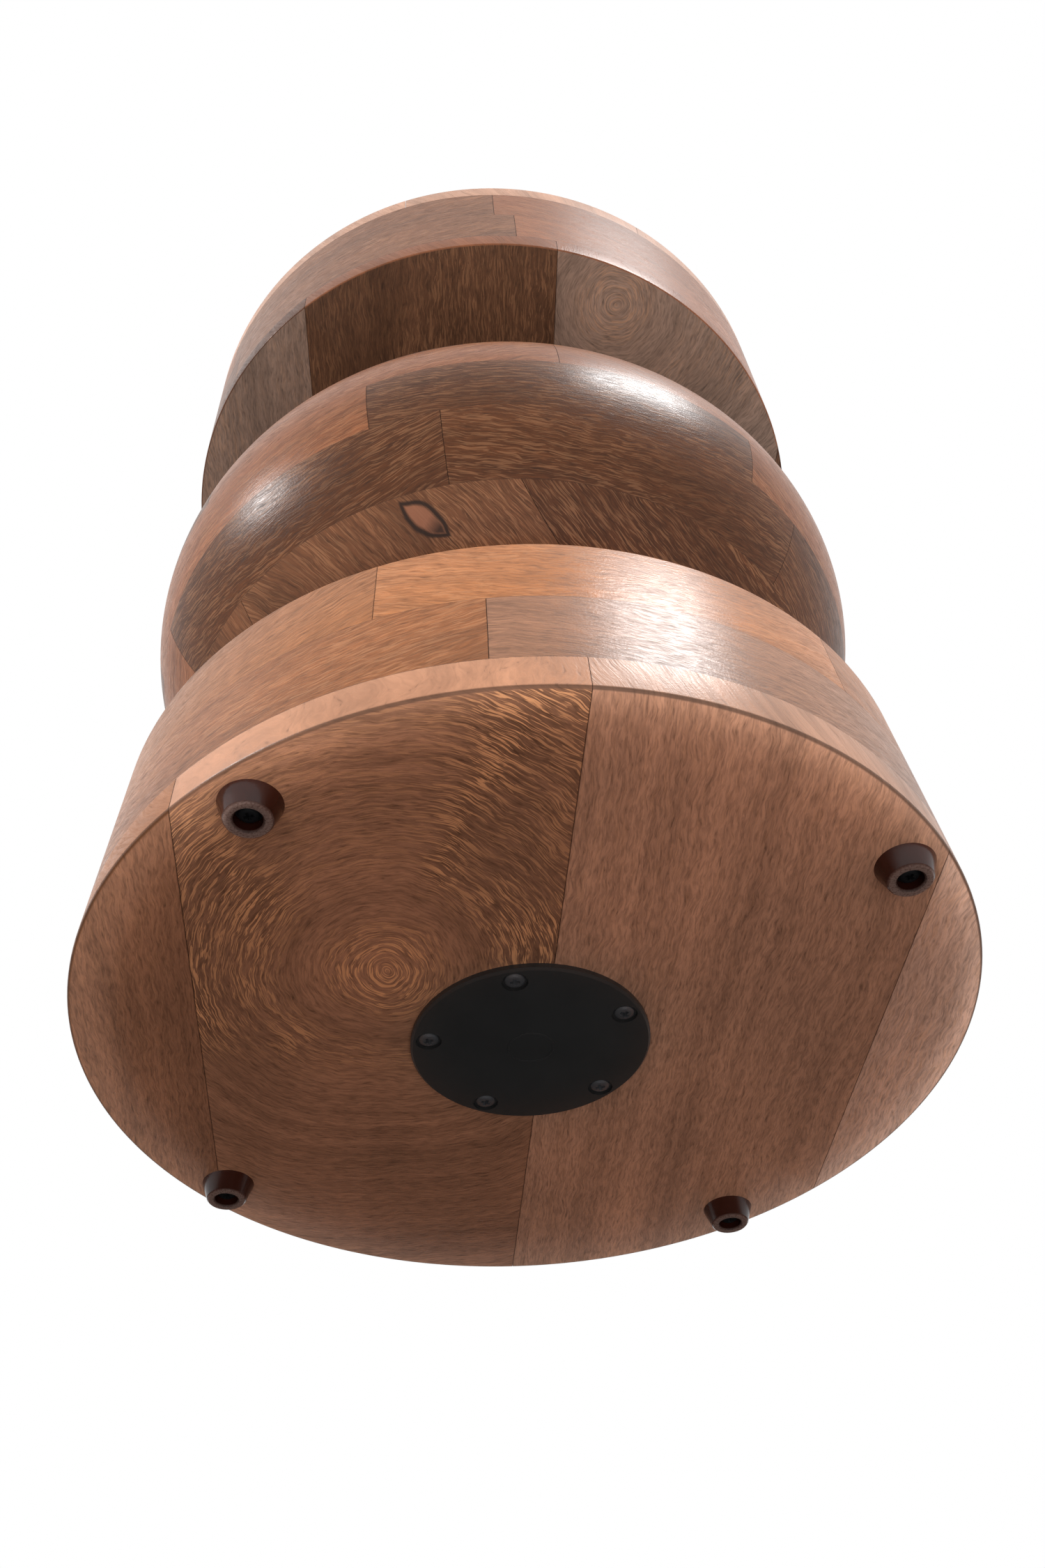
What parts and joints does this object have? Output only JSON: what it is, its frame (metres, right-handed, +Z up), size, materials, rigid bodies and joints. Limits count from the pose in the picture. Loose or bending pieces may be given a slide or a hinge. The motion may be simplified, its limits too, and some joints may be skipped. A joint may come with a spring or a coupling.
{
  "type": "side table",
  "caption": "Round side table of stacked wooden drums on recessed necks: a tapered base, a bullnosed middle and a straight-sided top, on small moulded feet.",
  "frame": {"origin": "on the floor under the table's axis, in the plane of the feet's ends", "axes": "+Z up along the axis that the drums are turned on; -Y towards the side that the picture shows"},
  "size_m": [0.3998, 0.3998, 0.535],
  "materials": {
    "stained_wood": "walnut stain under satin lacquer",
    "dowel_wood": "bare turned hardwood",
    "plain_steel": "zinc plated",
    "black_steel": "black oxide",
    "black_plastic": "satin moulded",
    "foot_plastic": "glossy moulded"
  },
  "bodies": {
    "root": {"base_bottom_board": "stained_wood", "base_lower_ring": "stained_wood", "base_upper_ring": "stained_wood", "base_top_board": "stained_wood", "lower_neck": "stained_wood", "mid_bottom_board": "stained_wood", "mid_ring_1": "stained_wood", "mid_ring_2": "stained_wood", "mid_ring_3": "stained_wood", "mid_ring_4": "stained_wood", "mid_top_board": "stained_wood", "upper_neck": "stained_wood", "top_bottom_board": "stained_wood", "top_lower_ring": "stained_wood", "top_upper_ring": "stained_wood", "table_top": "stained_wood", "base_dowels": "dowel_wood", "mid_bottom_dowels": "dowel_wood", "mid_top_dowels": "dowel_wood", "top_dowels": "dowel_wood", "lower_plate_washer": "plain_steel", "lower_nut": "plain_steel", "upper_plate_washer": "plain_steel", "upper_nut": "plain_steel", "tie_rod": "plain_steel", "cover_plate": "black_plastic", "cover_screws": "black_steel", "foot_1": "foot_plastic", "foot_2": "foot_plastic", "foot_3": "foot_plastic", "foot_4": "foot_plastic", "foot_washers": "black_steel", "foot_screws": "black_steel"}
  },
  "joints": []
}
